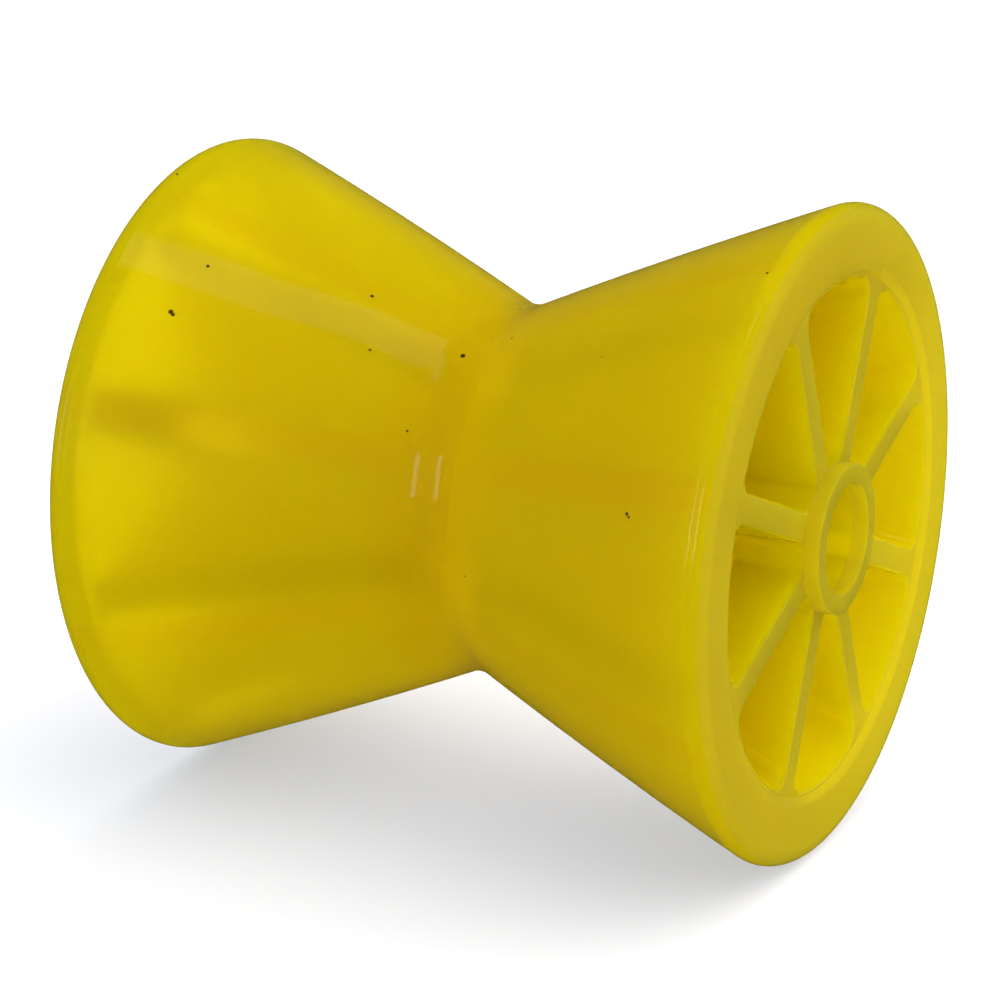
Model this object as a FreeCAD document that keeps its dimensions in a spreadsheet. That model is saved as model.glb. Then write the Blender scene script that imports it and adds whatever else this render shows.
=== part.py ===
import FreeCAD, Part
import math
import os
import Sketcher

# A bow roller for a boat trailer: one moulded piece of clear yellow plastic,
# shaped like a cotton reel. Two cones meet at a narrow waist, and each end is
# cored out, so that it shows a thick rim, a hub with the shaft's bore, and
# thin ribs between them. The roller is symmetrical about the middle of its
# length, so it is modelled about that plane and then stood on its lower hub.

doc = FreeCAD.newDocument("bow_roller")

# Driving dimensions in millimetres, degrees and counts.
SIZES = [
    ("rim_to_rim", 101.6, "length between the faces of the two rims"),
    ("hub_proud", 1.6, "how far the hub stands out past the rim's face"),
    ("rib_recess", 0.7, "how far the ribs lie behind the rim's face"),
    ("bore_dia", 16.0, "bore for a 5/8 inch shaft"),
    ("hub_dia", 21.6, "outside of the hub at its face"),
    ("rim_dia", 96.1, "where the cone's side would meet the rim's face"),
    ("waist_dia", 52.6, "where the two cones' sides would meet"),
    ("side_bulge", 0.4, "how far the cone's side bulges between waist and rim"),
    ("wall_width", 11.1, "wall of the cone, measured across the axis"),
    ("recess_ledge", 0.2, "step from a pocket's bevel to the foot of the recess wall"),
    ("recess_flare", 1.0, "how much wider the recess is at the rim's face than at its foot"),
    ("rib_count", 8, "ribs, and pockets between them, at each end"),
    ("rib_thickness", 4.2, "rib just below its bevelled top"),
    ("rib_bevel", 0.4, "bevel round the mouth of every pocket"),
    ("draft_angle", 1.0, "taper of ribs and hub inside a pocket, in degrees"),
    ("web_thickness", 12.0, "solid middle between the two ends' pockets"),
    ("rim_corner", 3.0, "corner radius of a pocket's mouth beside the rim"),
    ("core_corner", 1.5, "corner radius of a pocket everywhere else"),
    ("waist_round", 9.3, "fillet between the two cones"),
    ("rim_round", 2.3, "rounding of the rim's outer edge"),
    ("recess_round", 1.2, "rounding of the rim's inner edge"),
    ("hub_round", 0.3, "rounding of the hub's outer edge"),
    ("bore_chamfer", 0.2, "chamfer at both mouths of the bore"),
]

# Sizes that follow from them, as formulas of the sheet.
DERIVED = [
    ("rim_level", "=rim_to_rim / 2", "height of the rim's face over the middle"),
    ("hub_level", "=rim_level + hub_proud", "height of the hub's face"),
    ("rib_level", "=rim_level - rib_recess", "height of the ribs' tops"),
    ("bevel_level", "=rib_level - rib_bevel", "height of the foot of the pockets' bevel"),
    ("floor_level", "=web_thickness / 2", "height of the pockets' floors"),
    ("cone_slope", "=(rim_dia - waist_dia) / 2 / rim_level", "cone radius gained per mm"),
    ("wall_radius", "=waist_dia / 2 + cone_slope * bevel_level - wall_width", "pocket's wall, top"),
    ("floor_radius", "=waist_dia / 2 + cone_slope * floor_level - wall_width", "pocket's wall, floor"),
    ("mouth_radius", "=wall_radius + rib_bevel", "pocket's outer edge, at the ribs' tops"),
    ("foot_radius", "=mouth_radius + recess_ledge", "foot of the recess wall round the ribs"),
    ("flare_radius", "=foot_radius + recess_flare", "top of the recess wall, at the rim's face"),
    ("half_side", "=hypot(rim_dia / 2 - waist_dia / 2; rim_level) / 2", "half the side's length"),
    ("side_radius", "=(half_side ^ 2 + side_bulge ^ 2) / (2 * side_bulge)", "radius of its bulge"),
    ("draft_growth", "=(bevel_level - floor_level) * tan(draft_angle * 1deg)", "gain by draft"),
    ("half_pitch", "=180 / rib_count", "half the angle between two ribs"),
]

sheet = doc.addObject("Spreadsheet::Sheet", "sizes")
for row, (alias, value, meaning) in enumerate(SIZES + DERIVED, start=1):
    sheet.set("A%d" % row, alias)
    sheet.set("B%d" % row, str(value))
    sheet.set("C%d" % row, meaning)
    sheet.setAlias("B%d" % row, alias)
doc.recompute()


def size(alias):
    """The sheet's value of one alias as a plain number."""
    value = sheet.get(alias)
    return float(getattr(value, "Value", value))


def origin_part(body, role):
    """The body's own origin plane or axis with this role."""
    return next(item for item in body.Origin.OriginFeatures if item.Role == role)


def new_sketch(body, name, role, height=None):
    """A sketch on one of the body's origin planes, lifted by a formula of the sheet."""
    sketch = body.newObject("Sketcher::SketchObject", name)
    sketch.AttachmentSupport = [(origin_part(body, role), "")]
    sketch.MapMode = "FlatFace"
    if height:
        sketch.setExpression("AttachmentOffset.Base.z", "sizes." + height)
    return sketch


def drive(sketch, constraint, name, formula):
    """Add one constraint and bind its value to a formula of the sheet."""
    index = sketch.addConstraint(constraint)
    sketch.renameConstraint(index, name)
    sketch.setExpression("Constraints." + name, formula)


def ring_edges(shape, radius, level):
    """Names of the full-circle edges of this radius at this height above and below the middle."""
    names = []
    for number, edge in enumerate(shape.Edges, start=1):
        curve = edge.Curve
        if not isinstance(curve, Part.Circle):
            continue
        same_radius = abs(curve.Radius - radius) < 1e-4
        same_level = abs(abs(curve.Center.z) - level) < 1e-4
        if same_radius and same_level:
            names.append("Edge%d" % number)
    return names


def round_edges(body, name, kind, radius, level, property_name, alias):
    """Fillet or chamfer the ring edges that lie at one radius and height."""
    doc.recompute()
    base = body.Tip
    feature = body.newObject("PartDesign::" + kind, name)
    feature.Base = (base, ring_edges(base.Shape, radius, level))
    feature.setExpression(property_name, "sizes." + alias)
    return feature


def half_section(body):
    """Upper half of the roller's section, without its roundings: bore, hub, recess, rim and side."""
    sketch = new_sketch(body, "half_section", "XZ_Plane")
    bore, hub = size("bore_dia") / 2, size("hub_dia") / 2
    rim, waist = size("rim_dia") / 2, size("waist_dia") / 2
    corners = [
        (bore, 0), (bore, size("hub_level")), (hub, size("hub_level")),
        (hub, size("rib_level")), (size("foot_radius"), size("rib_level")),
        (size("flare_radius"), size("rim_level")), (rim, size("rim_level")), (waist, 0),
    ]
    points = [FreeCAD.Vector(x, y, 0) for x, y in corners]
    for index in range(6):
        sketch.addGeometry(Part.LineSegment(points[index], points[index + 1]))

    # The cone's side bulges a little: an arc from the waist up to the rim's corner.
    outward = FreeCAD.Vector(size("rim_level"), waist - rim, 0).normalize()
    bulge = (points[6] + points[7]) / 2 + outward * size("side_bulge")
    sketch.addGeometry(Part.Arc(points[7], bulge, points[6]))
    sketch.addGeometry(Part.LineSegment(points[7], points[0]))
    joints = [(index, 2, index + 1, 1) for index in range(5)]
    joints += [(5, 2, 6, 2), (6, 1, 7, 1), (7, 2, 0, 1)]
    for joint in joints:
        sketch.addConstraint(Sketcher.Constraint("Coincident", *joint))
    for line in (0, 2):
        sketch.addConstraint(Sketcher.Constraint("Vertical", line))
    for line in (1, 3, 5, 7):
        sketch.addConstraint(Sketcher.Constraint("Horizontal", line))
    sketch.addConstraint(Sketcher.Constraint("PointOnObject", 0, 1, -1))
    across = [
        ("bore", (0, 1), bore, "sizes.bore_dia / 2"), ("hub", (2, 1), hub, "sizes.hub_dia / 2"),
        ("foot", (4, 1), size("foot_radius"), "sizes.foot_radius"),
        ("flare", (5, 1), size("flare_radius"), "sizes.flare_radius"),
        ("rim", (5, 2), rim, "sizes.rim_dia / 2"), ("waist", (7, 1), waist, "sizes.waist_dia / 2"),
    ]
    for name, point, value, formula in across:
        drive(sketch, Sketcher.Constraint("DistanceX", -1, 1, *point, value), name, formula)
    up = [("hub_face", 1, "hub_level"), ("rib_top", 3, "rib_level"), ("rim_face", 5, "rim_level")]
    for name, line, alias in up:
        place = Sketcher.Constraint("DistanceY", -1, 1, line, 1, size(alias))
        drive(sketch, place, name, "sizes." + alias)
    drive(sketch, Sketcher.Constraint("Radius", 6, size("side_radius")), "side", "sizes.side_radius")
    return sketch


def pocket_outline(body, name, level, outer, growth, bevel, wall_corner):
    """One pocket's outline across the axis, centred on +X: outer wall, hub and two rib sides.

    outer is the outer wall's alias. growth times draft_growth is added to the hub's radius and
    to each half rib, and bevel times rib_bevel is taken off each half rib (both 0 or 1 at this
    level). wall_corner is the alias of the two roundings beside the outer wall; the two beside
    the hub always have the core's radius.
    """
    sketch = new_sketch(body, name, "XY_Plane", level)
    added = growth * size("draft_growth")
    hub = size("hub_dia") / 2 + added
    wall = size(outer)
    half_rib = size("rib_thickness") / 2 + added - bevel * size("rib_bevel")
    tilt = math.radians(size("half_pitch"))
    wall_bend, hub_bend = size(wall_corner), size("core_corner")
    middle = FreeCAD.Vector(0, 0, 0)
    up_axis = FreeCAD.Vector(0, 0, 1)

    # Each rib side is a line parallel to its rib's middle line, half a rib away from it.
    # A corner arc touches that line and one of the two circles about the axis.
    def corner_centre(ring, bend, sign):
        offset = half_rib + abs(bend)
        along = math.sqrt((ring - bend) ** 2 - offset ** 2)
        x = along * math.cos(tilt) + offset * math.sin(tilt)
        y = along * math.sin(tilt) - offset * math.cos(tilt)
        return FreeCAD.Vector(x, sign * y, 0)

    def side_point(centre, bend, sign):
        return centre + FreeCAD.Vector(-math.sin(tilt), sign * math.cos(tilt), 0) * bend

    def arc(centre, radius, start, end):
        first = math.atan2(start.y - centre.y, start.x - centre.x)
        last = math.atan2(end.y - centre.y, end.x - centre.x)
        return Part.ArcOfCircle(Part.Circle(centre, up_axis, radius), first, last)

    def on_ring(centre, radius):
        return centre * (radius / centre.Length)

    low_out, high_out = (corner_centre(wall, wall_bend, sign) for sign in (-1, 1))
    low_in, high_in = (corner_centre(hub, -hub_bend, sign) for sign in (-1, 1))
    high_side = [side_point(high_in, hub_bend, 1), side_point(high_out, wall_bend, 1)]
    low_side = [side_point(low_in, hub_bend, -1), side_point(low_out, wall_bend, -1)]
    sketch.addGeometry(arc(middle, wall, on_ring(low_out, wall), on_ring(high_out, wall)))
    sketch.addGeometry(arc(high_out, wall_bend, on_ring(high_out, wall), high_side[1]))
    sketch.addGeometry(Part.LineSegment(*high_side))
    sketch.addGeometry(arc(high_in, hub_bend, high_side[0], on_ring(high_in, hub)))
    sketch.addGeometry(arc(middle, hub, on_ring(low_in, hub), on_ring(high_in, hub)))
    sketch.addGeometry(arc(low_in, hub_bend, on_ring(low_in, hub), low_side[0]))
    sketch.addGeometry(Part.LineSegment(*low_side))
    sketch.addGeometry(arc(low_out, wall_bend, low_side[1], on_ring(low_out, wall)))

    # End to end round the loop; the hub's arc and the upper rib side run the other way.
    joints = [
        (0, 2, 1, 1), (1, 2, 2, 2), (2, 1, 3, 1), (3, 2, 4, 2),
        (4, 1, 5, 1), (5, 2, 6, 1), (6, 2, 7, 1), (7, 2, 0, 1),
    ]
    for first, first_end, second, second_end in joints:
        sketch.addConstraint(Sketcher.Constraint("Tangent", first, first_end, second, second_end))
    for ring in (0, 4):
        sketch.addConstraint(Sketcher.Constraint("Coincident", ring, 3, -1, 1))
    for upper, lower in ((1, 7), (3, 5)):
        sketch.addConstraint(Sketcher.Constraint("Equal", upper, lower))
    grown = "%d * sizes.draft_growth" % growth
    taken = "%d * sizes.rib_bevel" % bevel
    drive(sketch, Sketcher.Constraint("Radius", 0, wall), "outer_wall", "sizes." + outer)
    drive(sketch, Sketcher.Constraint("Radius", 4, hub), "hub_side", "sizes.hub_dia / 2 + " + grown)
    drive(sketch, Sketcher.Constraint("Radius", 1, wall_bend), "wall_corner", "sizes." + wall_corner)
    drive(sketch, Sketcher.Constraint("Radius", 3, hub_bend), "hub_corner", "sizes.core_corner")
    for name, line, sign in (("upper", 2, 1), ("lower", 6, -1)):
        gap = Sketcher.Constraint("Distance", -1, 1, line, half_rib)
        drive(sketch, gap, name + "_half_rib", "sizes.rib_thickness / 2 + %s - %s" % (grown, taken))
        turn = Sketcher.Constraint("Angle", line, sign * tilt)
        drive(sketch, turn, name + "_tilt", "%d * sizes.half_pitch * 1deg" % sign)
    return sketch


def roller():
    """The whole moulded piece as one body."""
    body = doc.addObject("PartDesign::Body", "roller")
    body.Label = "roller"

    turned = body.newObject("PartDesign::Revolution", "turned_half")
    turned.Profile = half_section(body)
    turned.ReferenceAxis = (origin_part(body, "Z_Axis"), [""])
    turned.Angle = 360

    whole = body.newObject("PartDesign::Mirrored", "both_halves")
    whole.Originals = [turned]
    whole.MirrorPlane = (origin_part(body, "XY_Plane"), [""])
    body.Tip = whole

    round_edges(body, "waist_fillet", "Fillet", size("waist_dia") / 2, 0, "Radius", "waist_round")
    rim_level, hub_level = size("rim_level"), size("hub_level")
    round_edges(body, "rim_fillet", "Fillet", size("rim_dia") / 2, rim_level, "Radius", "rim_round")
    flare = size("flare_radius")
    round_edges(body, "recess_fillet", "Fillet", flare, rim_level, "Radius", "recess_round")
    round_edges(body, "hub_fillet", "Fillet", size("hub_dia") / 2, hub_level, "Radius", "hub_round")
    round_edges(body, "bore_mouth", "Chamfer", size("bore_dia") / 2, hub_level, "Size", "bore_chamfer")

    # One cored pocket, from the ribs' tops down to the web, then all of them at both ends.
    mouth = pocket_outline(body, "pocket_mouth", "rib_level", "mouth_radius", 0, 1, "rim_corner")
    neck = pocket_outline(body, "pocket_neck", "bevel_level", "wall_radius", 0, 0, "rim_corner")
    floor = pocket_outline(body, "pocket_floor", "floor_level", "floor_radius", 1, 0, "core_corner")
    pocket = body.newObject("PartDesign::SubtractiveLoft", "pocket")
    pocket.Profile = mouth
    pocket.Sections = [neck, floor]
    pocket.Ruled = True
    body.Tip = pocket
    doc.recompute()

    around = body.newObject("PartDesign::PolarPattern", "around_the_hub")
    around.Axis = (origin_part(body, "Z_Axis"), [""])
    around.Angle = 360
    around.setExpression("Occurrences", "sizes.rib_count")
    across = body.newObject("PartDesign::Mirrored", "at_both_ends")
    across.MirrorPlane = (origin_part(body, "XY_Plane"), [""])
    pockets = body.newObject("PartDesign::MultiTransform", "pockets")
    pockets.Originals = [pocket]
    pockets.Transformations = [around, across]
    body.Tip = pockets
    body.setExpression("Placement.Base.z", "sizes.hub_level")
    return body


body = roller()
doc.recompute()
for item in doc.Objects:
    if "Invalid" in item.State or "Error" in item.State:
        raise RuntimeError("%s failed: %s" % (item.Name, item.State))
if body.Shape.isNull() or not body.Shape.isValid():
    raise RuntimeError("the roller's shape is not valid")
print("solids", len(body.Shape.Solids), "faces", len(body.Shape.Faces))
print("volume in mm3", round(body.Shape.Volume, 1))
print(body.Shape.BoundBox)

os.makedirs("parts", exist_ok=True)
body.Shape.exportStep("parts/%s.step" % body.Label)
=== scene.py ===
import math

import bpy
import numpy as np
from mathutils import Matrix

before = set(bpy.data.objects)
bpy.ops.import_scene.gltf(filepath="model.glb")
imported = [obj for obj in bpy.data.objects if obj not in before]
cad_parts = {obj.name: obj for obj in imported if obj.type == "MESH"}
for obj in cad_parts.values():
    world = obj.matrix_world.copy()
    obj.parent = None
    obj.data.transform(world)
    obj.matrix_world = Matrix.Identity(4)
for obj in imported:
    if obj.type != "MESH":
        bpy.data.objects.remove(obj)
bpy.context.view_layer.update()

# The roller is one moulding of clear, honey-yellow plastic: two cones on a
# narrow waist, with cored, ribbed ends and a bore for the trailer's shaft.
# Its shape is the CAD solid's own; this section gives it its plastic.

# The roller's own sizes, in metres: the height of the middle of its length,
# the radius there, and the radius that each cone gains per metre from it.
MIDDLE = 0.0524
WAIST_RADIUS = 0.0263
CONE_SLOPE = 0.4291
RIB_COUNT = 8

# Where one colour goes over into the next: start and end, in metres.
CORED_DEPTH = (0.004, 0.006)
HUB_TO_WALL = (0.012, 0.030)
END_LEVEL = (0.0499, 0.0500)
RIB_EDGE = (0.0018, 0.0032)
FLOOR_EDGE = (0.006, 0.010)

# The plastic's colours: outside it is paler where the wall is thin, over a
# pocket, than where a rib joins it. Inside a pocket the colour is painted
# light: paler by the thick hub than by the thin wall, so that the deep pockets
# come out brighter. The flat ends are painted a little darker, as painted
# shade, and have a faint blue that is a painted sheen.
OUTSIDE = (0.88, 0.70, 0.0, 1.0)
RIB_JOIN = (0.88, 0.665, 0.0, 1.0)
HUB_SIDE_PAINTED_LIGHT = (0.97, 0.80, 0.0, 1.0)
WALL_SIDE = (0.80, 0.66, 0.0, 1.0)
END_SHADE_AND_SHEEN = (0.81, 0.65, 0.02, 1.0)

# Partly clear and partly hazy, with a glossy skin; blue light is soon taken up.
IOR = 1.4
CLEAR = 0.6
ROUGH = 0.5
HAZE = 1.0
HAZE_REACH = 0.02
HAZE_SPREAD = (1.0, 0.9, 0.1)
COAT = 0.6
COAT_ROUGH = 0.07
TAKEN_PER_METRE = (0.4, 4.0, 200.0)
WAVES_PER_METRE = 70.0
WAVE_HEIGHT = 0.0002


def tree(material):
    """The material's node tree, emptied."""
    material.use_nodes = True
    material.node_tree.nodes.clear()
    return material.node_tree


def maths(nt, operation, first, second=0.0):
    """A Math node; each term is a number or another node's output."""
    node = nt.nodes.new("ShaderNodeMath")
    node.operation = operation
    for socket, term in zip(node.inputs, (first, second)):
        if isinstance(term, (int, float)):
            socket.default_value = term
        else:
            nt.links.new(term, socket)
    return node.outputs["Value"]


def vector_maths(nt, operation, first, second=(0.0, 0.0, 0.0)):
    """A Vector Math node that takes an output and a plain vector."""
    node = nt.nodes.new("ShaderNodeVectorMath")
    node.operation = operation
    nt.links.new(first, node.inputs[0])
    node.inputs[1].default_value = second
    return node.outputs


def between(nt, value, low, high, start=0.0, end=1.0):
    """start where value is low, end where it is high, and straight between them."""
    node = nt.nodes.new("ShaderNodeMapRange")
    node.inputs["From Min"].default_value = low
    node.inputs["From Max"].default_value = high
    node.inputs["To Min"].default_value = start
    node.inputs["To Max"].default_value = end
    nt.links.new(value, node.inputs["Value"])
    return node.outputs["Result"]


def blend(nt, share, first, second):
    """A colour from first to second as share rises; each is a colour or an output."""
    node = nt.nodes.new("ShaderNodeMix")
    node.data_type = "RGBA"
    nt.links.new(share, node.inputs["Factor"])
    first_colour, second_colour = 6, 7
    for number, term in ((first_colour, first), (second_colour, second)):
        if isinstance(term, tuple):
            node.inputs[number].default_value = term
        else:
            nt.links.new(term, node.inputs[number])
    return node.outputs[2]


plastic = bpy.data.materials.new("clear_yellow_plastic")
nt = tree(plastic)
out = nt.nodes.new("ShaderNodeOutputMaterial")
skin = nt.nodes.new("ShaderNodeBsdfPrincipled")

# Where a spot lies: its distances from the axis, from the middle of the
# length and from the nearest rib tell the outside, the cored inside and the
# two flat ends apart, and on the outside the thin wall from the ribs.
place = nt.nodes.new("ShaderNodeTexCoord").outputs["Object"]
flat = vector_maths(nt, "MULTIPLY", place, (1.0, 1.0, 0.0))["Vector"]
from_axis = vector_maths(nt, "LENGTH", flat)["Value"]
parts = nt.nodes.new("ShaderNodeSeparateXYZ")
nt.links.new(place, parts.inputs["Vector"])
from_middle = maths(nt, "ABSOLUTE", maths(nt, "SUBTRACT", parts.outputs["Z"], MIDDLE))
side_radius = maths(nt, "ADD", maths(nt, "MULTIPLY", from_middle, CONE_SLOPE), WAIST_RADIUS)
cored = between(nt, maths(nt, "SUBTRACT", side_radius, from_axis), *CORED_DEPTH)
ends = between(nt, from_middle, *END_LEVEL)

pitch = 2 * math.pi / RIB_COUNT
angle = maths(nt, "ARCTAN2", parts.outputs["Y"], parts.outputs["X"])
turn = maths(nt, "FRACT", maths(nt, "DIVIDE", angle, pitch))
off_rib = maths(nt, "ABSOLUTE", maths(nt, "SUBTRACT", turn, 0.5))
off_rib = maths(nt, "MULTIPLY", off_rib, maths(nt, "MULTIPLY", from_axis, pitch))
over_pocket = between(nt, from_middle, *FLOOR_EDGE)
thin = maths(nt, "MULTIPLY", between(nt, off_rib, *RIB_EDGE), over_pocket)
outside = blend(nt, thin, RIB_JOIN, OUTSIDE)
# Painted light: inside a pocket the colour is paler by the hub, so that the deep pockets look
# brighter.
inside = blend(nt, between(nt, from_axis, *HUB_TO_WALL), HUB_SIDE_PAINTED_LIGHT, WALL_SIDE)
# Painted shade and painted sheen: the flat ends are a little darker, with a faint blue.
colour = blend(nt, ends, blend(nt, cored, outside, inside), END_SHADE_AND_SHEEN)

# Dark specks of burnt plastic that were trapped in the skin, each with its
# place and radius in millimetres. Distances are counted in a speck's radii.
SPECKS = [
    (-13.9, -44.9, 100.6, 0.24), (-24.4, -34.6, 89.0, 0.28), (-31.6, -29.3, 90.8, 0.38),
    (-31.7, -29.0, 90.4, 0.32), (-14.0, -30.3, 68.1, 0.30), (-20.6, -24.3, 64.8, 0.22),
    (-14.1, -23.3, 53.4, 0.40), (-24.4, -14.5, 56.8, 0.20), (-0.2, -27.3, 51.4, 0.26),
    (-12.1, -26.3, 46.7, 0.20), (-4.2, -30.9, 41.6, 0.20), (-20.4, -42.1, 4.8, 0.26),
    (-24.2, -28.9, 26.9, 0.12), (-40.5, -13.0, 15.3, 0.28), (-40.8, -12.7, 14.9, 0.22),
    (-29.5, 3.6, 45.0, 0.15),
]
SPECK = (0.02, 0.014, 0.004, 1.0)
SPECK_EDGE = (1.1, 0.8)
FAR_OFF = 1000.0
MILLIMETRE = 0.001

nearest = FAR_OFF
for x, y, z, radius in SPECKS:
    speck_place = (x * MILLIMETRE, y * MILLIMETRE, z * MILLIMETRE)
    gap = vector_maths(nt, "DISTANCE", place, speck_place)["Value"]
    nearest = maths(nt, "MINIMUM", nearest, maths(nt, "DIVIDE", gap, radius * MILLIMETRE))
colour = blend(nt, between(nt, nearest, *SPECK_EDGE), colour, SPECK)
nt.links.new(colour, skin.inputs["Base Color"])

skin.inputs["Transmission Weight"].default_value = CLEAR
skin.inputs["Subsurface Weight"].default_value = HAZE
skin.inputs["Subsurface Radius"].default_value = HAZE_SPREAD
skin.inputs["Subsurface Scale"].default_value = HAZE_REACH
skin.inputs["IOR"].default_value = IOR
skin.inputs["Roughness"].default_value = ROUGH
skin.inputs["Coat Weight"].default_value = COAT
skin.inputs["Coat Roughness"].default_value = COAT_ROUGH
nt.links.new(skin.outputs["BSDF"], out.inputs["Surface"])

# The moulded skin isn't quite even: it has broad soft waves.
noise = nt.nodes.new("ShaderNodeTexNoise")
noise.inputs["Scale"].default_value = WAVES_PER_METRE
noise.inputs["Detail"].default_value = 0.0
nt.links.new(place, noise.inputs["Vector"])
waves = nt.nodes.new("ShaderNodeBump")
waves.inputs["Strength"].default_value = 1.0
waves.inputs["Distance"].default_value = WAVE_HEIGHT
nt.links.new(noise.outputs["Fac"], waves.inputs["Height"])
nt.links.new(waves.outputs["Normal"], skin.inputs["Normal"])
nt.links.new(waves.outputs["Normal"], skin.inputs["Coat Normal"])

# What the plastic takes from light on its way through it, per metre.
depth = nt.nodes.new("ShaderNodeVolumeAbsorption")
most = max(TAKEN_PER_METRE)
depth.inputs["Color"].default_value = (*[1 - taken / most for taken in TAKEN_PER_METRE], 1.0)
depth.inputs["Density"].default_value = most
nt.links.new(depth.outputs["Volume"], out.inputs["Volume"])
bpy.data.objects["roller"].material_slots[0].material = plastic

# The stage: a floor under the standing roller, and the white ground on which
# the photographed one lies, which touches both its rims from behind. Only the
# camera's own rays meet them.
RIM_REACH = 0.0471
GROUND_CENTRE = 0.05
GROUND_WIDTH = 3.0


def stage_piece(name, points, faces, material, seen_by):
    """A stage mesh that one kind of ray meets, camera or glossy, and without a shadow."""
    mesh = bpy.data.meshes.new(name)
    mesh.from_pydata(points.tolist(), [], faces.tolist())
    mesh.materials.append(material)
    thing = bpy.data.objects.new(name, mesh)
    bpy.context.collection.objects.link(thing)
    thing.visible_camera = seen_by == "camera"
    thing.visible_glossy = seen_by == "glossy"
    thing.visible_diffuse = False
    thing.visible_transmission = False
    thing.visible_shadow = False


def ground(name, middle, across, along, material):
    """A flat square: middle plus or minus half its width along two unit directions.

    It faces the way of the directions' cross product.
    """
    corners = np.array([(-1, -1), (1, -1), (1, 1), (-1, 1)]) * GROUND_WIDTH / 2
    points = np.array(middle) + corners @ np.array([across, along])
    stage_piece(name, points, np.array([(0, 1, 2, 3)]), material, "camera")


def ground_material(name, matt_colour, glow_colour):
    """White ground that takes a shadow, and that is clear when seen from below."""
    material = bpy.data.materials.new(name)
    nt = tree(material)
    out = nt.nodes.new("ShaderNodeOutputMaterial")
    matt = nt.nodes.new("ShaderNodeBsdfDiffuse")
    matt.inputs["Color"].default_value = matt_colour
    glow = nt.nodes.new("ShaderNodeEmission")
    glow.inputs["Color"].default_value = glow_colour
    both = nt.nodes.new("ShaderNodeAddShader")
    away = nt.nodes.new("ShaderNodeBsdfTransparent")
    side = nt.nodes.new("ShaderNodeNewGeometry")
    pick = nt.nodes.new("ShaderNodeMixShader")
    nt.links.new(matt.outputs[0], both.inputs[0])
    nt.links.new(glow.outputs[0], both.inputs[1])
    nt.links.new(side.outputs["Backfacing"], pick.inputs["Fac"])
    nt.links.new(both.outputs[0], pick.inputs[1])
    nt.links.new(away.outputs[0], pick.inputs[2])
    nt.links.new(pick.outputs[0], out.inputs["Surface"])
    return material


# Both glow a little, so that they come out white. The photo's ground glows
# faintly blue, which makes up for the yellow light that the roller throws on
# it, so that the shadow comes out grey.
FLOOR_MATT = (0.78, 0.76, 0.72, 1.0)
FLOOR_GLOW = (0.36, 0.38, 0.42, 1.0)
PAPER_MATT = (0.76, 0.68, 0.56, 1.0)
PAPER_GLOW = (0.17, 0.28, 0.45, 1.0)
white = ground_material("white_floor", FLOOR_MATT, FLOOR_GLOW)
paper = ground_material("white_paper", PAPER_MATT, PAPER_GLOW)
ground("floor", (0, 0, 0), (1, 0, 0), (0, 1, 0), white)
ground("photo_ground", (0, RIM_REACH, GROUND_CENTRE), (1, 0, 0), (0, 0, 1), paper)

# What the glossy skin mirrors: a dim room round it, a pale backdrop ahead of
# the camera, and small soft lights over and beside the lying roller. Only
# mirrored rays meet them. Directions are given as the lying roller has them.
UPWARD = np.array((0.0, -1.0, 0.0))
AHEAD = np.array((0.8888, 0.0, 0.4582))
RIGHT = np.array((0.4582, 0.0, -0.8888))
WALL_REACH = 2.5
BACKDROP_REACH = 2.2
LIGHT_REACH = 2.0
DOME_ROWS = 13
DOME_COLUMNS = 25


def glow_material(name, level):
    """A grey that shines by itself at this level, where 1 is white.

    It isn't sampled as a lamp, since only mirrored rays meet it, and that saves time.
    """
    material = bpy.data.materials.new(name)
    material.cycles.emission_sampling = "NONE"
    nt = tree(material)
    out = nt.nodes.new("ShaderNodeOutputMaterial")
    glow = nt.nodes.new("ShaderNodeEmission")
    glow.inputs["Color"].default_value = (1.0, 1.0, 1.0, 1.0)
    glow.inputs["Strength"].default_value = level
    nt.links.new(glow.outputs[0], out.inputs["Surface"])
    return material


def dome(name, elevations, azimuths, reach, material):
    """Part of a sphere about the roller, between two elevations and two azimuths in degrees.

    A spot at elevation e and azimuth a, right of straight ahead, lies at reach times
    (upward * sin e + (ahead * cos a + right * sin a) * cos e).
    """
    e, a = np.meshgrid(
        np.radians(np.linspace(*elevations, DOME_ROWS)),
        np.radians(np.linspace(*azimuths, DOME_COLUMNS)),
        indexing="ij",
    )
    e, a = e.reshape(-1, 1), a.reshape(-1, 1)
    points = reach * (UPWARD * np.sin(e) + (AHEAD * np.cos(a) + RIGHT * np.sin(a)) * np.cos(e))
    spot = np.arange(DOME_ROWS * DOME_COLUMNS).reshape(DOME_ROWS, DOME_COLUMNS)
    faces = np.stack([spot[:-1, :-1], spot[:-1, 1:], spot[1:, 1:], spot[1:, :-1]], axis=-1)
    stage_piece(name, points, faces.reshape(-1, 4), material, "glossy")


wall = glow_material("dim_wall", 0.02)
backdrop = glow_material("pale_backdrop", 0.05)
light = glow_material("soft_light", 0.5)
streak = glow_material("streak_light", 2.0)
dome("dim_room", (-90, 90), (-180, 180), WALL_REACH, wall)
dome("backdrop", (-12, 21), (-60, 50), BACKDROP_REACH, backdrop)
dome("overhead_light", (75, 89), (60, 210), LIGHT_REACH, light)
dome("left_light", (5, 30), (-156, -147), LIGHT_REACH, streak)
dome("side_light", (2, 25), (-114, -106), LIGHT_REACH, streak)

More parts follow.
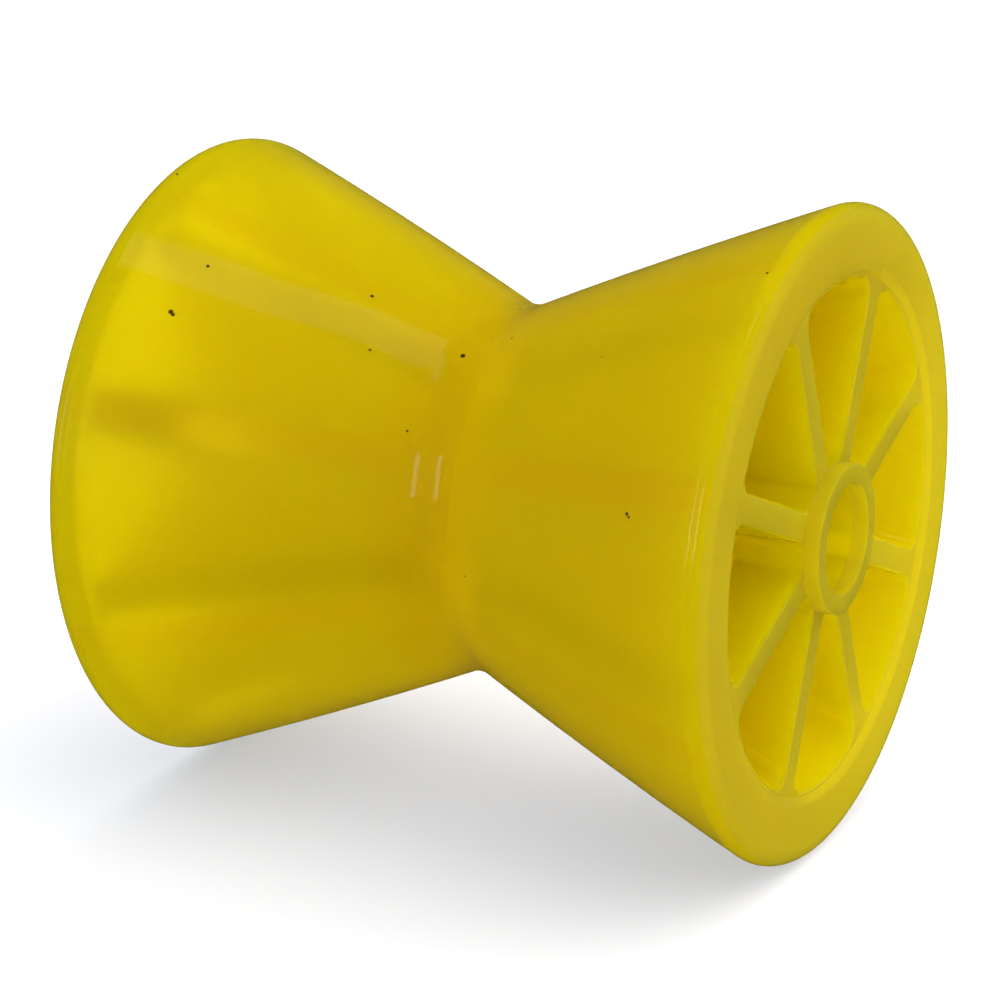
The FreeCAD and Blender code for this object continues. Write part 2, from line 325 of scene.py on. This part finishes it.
# Light: a white room, brighter overhead as the photographed roller lies. It
# lights the roller evenly and gives the one soft shadow under it. Rays that
# come straight from the camera, or through the roller or by its gloss, meet
# plain white. Its light is too even to need sampling, and that saves time.
ROOM_LEVEL = 0.95
OVERHEAD_LEVEL = 2.5
OVERHEAD = (0.40, -0.70, -0.59)
OVERHEAD_START = 0.4
WHITE = (1.0, 1.0, 1.0, 1.0)
world = bpy.data.worlds.new("white_room")
bpy.context.scene.world = world
world.cycles.sampling_method = "NONE"
nt = tree(world)
out = nt.nodes.new("ShaderNodeOutputWorld")
way = nt.nodes.new("ShaderNodeTexCoord").outputs["Generated"]
height = vector_maths(nt, "DOT_PRODUCT", way, OVERHEAD)["Value"]
room = nt.nodes.new("ShaderNodeBackground")
room.inputs["Color"].default_value = WHITE
level = between(nt, height, OVERHEAD_START, 1.0, ROOM_LEVEL, OVERHEAD_LEVEL)
nt.links.new(level, room.inputs["Strength"])
seen = nt.nodes.new("ShaderNodeBackground")
seen.inputs["Color"].default_value = WHITE
seen.inputs["Strength"].default_value = 1.0
rays = nt.nodes.new("ShaderNodeLightPath")
straight = maths(nt, "MAXIMUM", rays.outputs["Is Camera Ray"], rays.outputs["Is Glossy Ray"])
straight = maths(nt, "MAXIMUM", straight, rays.outputs["Is Transmission Ray"])
choose = nt.nodes.new("ShaderNodeMixShader")
nt.links.new(straight, choose.inputs["Fac"])
nt.links.new(room.outputs[0], choose.inputs[1])
nt.links.new(seen.outputs[0], choose.inputs[2])
nt.links.new(choose.outputs[0], out.inputs["Surface"])

# The camera stands where the photograph was taken: low, near the end with
# the near rim, and rolled, because the photographed roller lies on its side.
LENS_MM = 117.41
SENSOR_MM = 36.0
CAMERA_PLACE = (-0.407831, -0.142236, -0.155508)
CAMERA_TURN = (162.388, 62.703, -0.163)
camera_data = bpy.data.cameras.new("camera")
camera_data.lens = LENS_MM
camera_data.sensor_width = SENSOR_MM
camera = bpy.data.objects.new("camera", camera_data)
bpy.context.collection.objects.link(camera)
camera.location = CAMERA_PLACE
camera.rotation_euler = [math.radians(angle) for angle in CAMERA_TURN]
bpy.context.scene.camera = camera
bpy.context.scene.view_settings.view_transform = "Standard"
